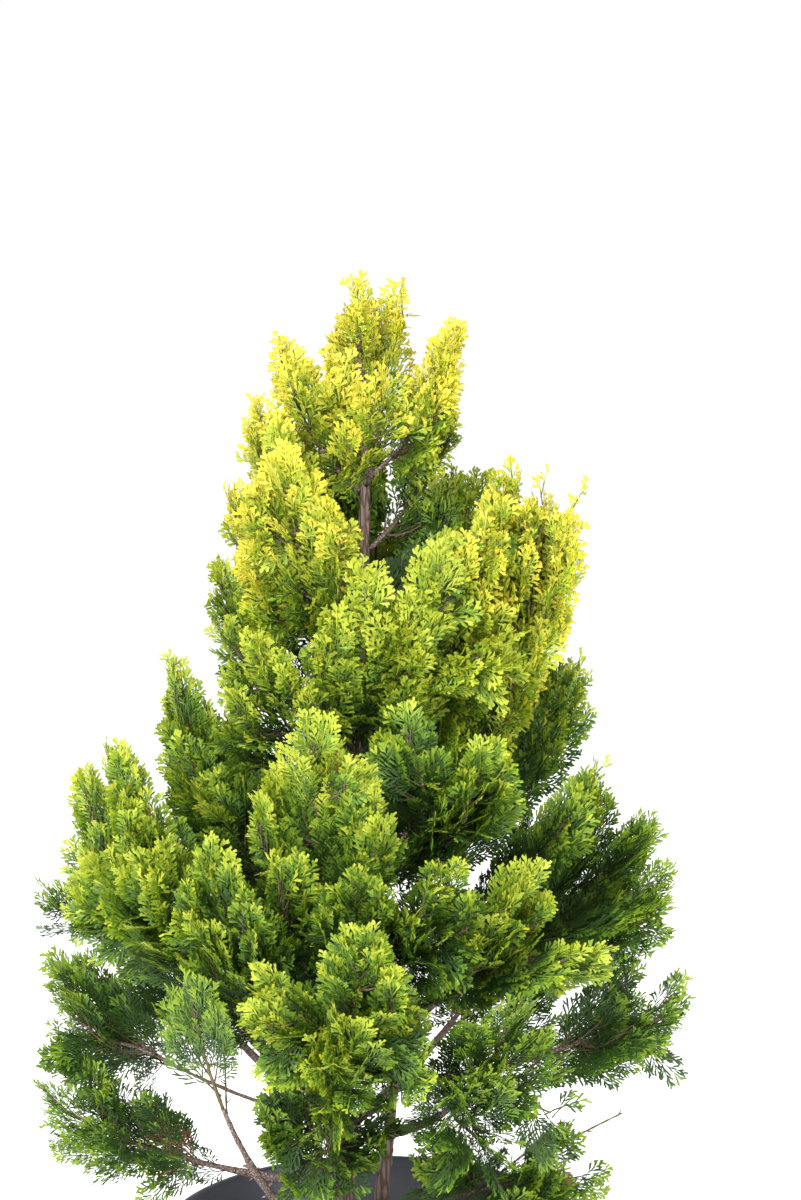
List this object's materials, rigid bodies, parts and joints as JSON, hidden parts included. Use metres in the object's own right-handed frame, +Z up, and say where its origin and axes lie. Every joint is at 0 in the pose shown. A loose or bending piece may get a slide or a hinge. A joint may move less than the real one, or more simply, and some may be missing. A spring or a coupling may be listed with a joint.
{
  "type": "potted lawson cypress",
  "caption": "Young golden lawson cypress in a round nursery pot: a leaning trunk with a side stem, upswept boughs and feathery plumes of flat sprays, gold at the top and deep green below.",
  "frame": {"origin": "centre of the pot's flat underside, on the surface that the pot stands on", "axes": "+Z up; -Y towards the side that the picture shows, +X to that view's right"},
  "size_m": [0.4677, 0.4015, 0.936],
  "materials": {
    "pot": "matt slate-coloured moulded plastic, lightly scuffed and dusty",
    "potting_mix": "moist dark peat and composted bark",
    "bark": "thin grey-brown to purple-brown bark, rough with old leaf scars",
    "leaf_gold": "golden yellow scale leaves with a low sheen",
    "leaf_bright": "yellow-green scale leaves with a low sheen",
    "leaf_deep": "deep green scale leaves with a low sheen"
  },
  "bodies": {
    "root": {"bough_back_low_left": "bark", "bough_back_low_right": "bark", "bough_front_left": "bark", "bough_front_left_low": "bark", "bough_front_low": "bark", "bough_front_right_low": "bark", "bough_gold_outer": "bark", "bough_left_far": "bark", "bough_left_inner": "bark", "bough_left_low": "bark", "bough_left_upper": "bark", "bough_right_far": "bark", "bough_right_outer": "bark", "foliage_back_high": "leaf_gold", "foliage_back_low": "leaf_bright", "foliage_back_low_left": "leaf_deep", "foliage_back_low_right": "leaf_deep", "foliage_back_mid_left": "leaf_bright", "foliage_back_mid_right": "leaf_bright", "foliage_centre_fan": "leaf_bright", "foliage_centre_gold": "leaf_gold", "foliage_front_left": "leaf_bright", "foliage_front_left_low": "leaf_bright", "foliage_front_low": "leaf_bright", "foliage_front_mid": "leaf_bright", "foliage_front_right": "leaf_bright", "foliage_front_right_low": "leaf_deep", "foliage_front_shoulder": "leaf_gold", "foliage_front_shoulder_low": "leaf_gold", "foliage_gold_inner": "leaf_gold", "foliage_gold_outer": "leaf_gold", "foliage_gold_spire": "leaf_gold", "foliage_leader": "leaf_gold", "foliage_leader_side": "leaf_gold", "foliage_left_far": "leaf_bright", "foliage_left_inner": "leaf_deep", "foliage_left_low": "leaf_deep", "foliage_left_outer": "leaf_deep", "foliage_left_shoulder": "leaf_bright", "foliage_left_upper": "leaf_bright", "foliage_low_front": "leaf_deep", "foliage_neck_right": "leaf_gold", "foliage_neck_spire": "leaf_gold", "foliage_right_arm": "leaf_bright", "foliage_right_far": "leaf_deep", "foliage_right_flank": "leaf_bright", "foliage_right_gold": "leaf_bright", "foliage_right_low": "leaf_deep", "foliage_right_outer": "leaf_bright", "foliage_top_front": "leaf_gold", "foliage_top_left": "leaf_gold", "foliage_top_left_low": "leaf_gold", "foliage_top_right": "leaf_gold", "foliage_top_right_low": "leaf_gold", "foliage_upper_left": "leaf_gold", "foliage_upper_left_low": "leaf_gold", "pot": "pot", "potting_mix": "potting_mix", "second_stem": "bark", "trunk": "bark"}
  },
  "joints": []
}
